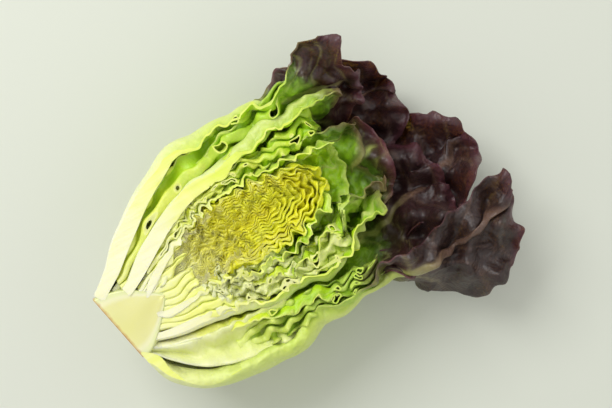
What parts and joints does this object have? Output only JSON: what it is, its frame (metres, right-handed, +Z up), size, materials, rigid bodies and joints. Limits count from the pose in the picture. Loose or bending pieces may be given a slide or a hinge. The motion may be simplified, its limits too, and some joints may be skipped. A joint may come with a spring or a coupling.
{
  "type": "half head of little gem lettuce",
  "caption": "Half of a red-tipped little gem lettuce, cut lengthwise and lying on its back, with nested leaves on a stem core round a frilled yellow heart.",
  "frame": {"origin": "centre of the small flat spot that the half rests on, under its outermost leaf", "axes": "+X from the cut butt to the leaf tips, +Y to the left seen from above, +Z up out of the cut face"},
  "size_m": [0.1596, 0.1183, 0.0545],
  "materials": {
    "core_flesh": "satin, moist cut flesh",
    "red_leaf": "glossy, crinkled, pale towards the rib",
    "green_leaf": "satin, crinkled",
    "lime_leaf": "satin, crinkled",
    "heart_leaf": "satin, finely frilled"
  },
  "bodies": {
    "root": {"stem_core": "core_flesh", "outer_leaf_back": "red_leaf", "outer_leaf_right": "red_leaf", "outer_leaf_left": "red_leaf", "outer_leaf_under": "red_leaf", "red_leaf_left": "red_leaf", "red_leaf_right": "red_leaf", "green_leaf_left": "green_leaf", "green_leaf_under": "green_leaf", "green_leaf_left_low": "green_leaf", "green_leaf_right": "green_leaf", "green_leaf_right_low": "green_leaf", "lime_leaf_left": "lime_leaf", "lime_leaf_under": "lime_leaf", "lime_leaf_right": "lime_leaf", "heart": "heart_leaf"}
  },
  "joints": []
}
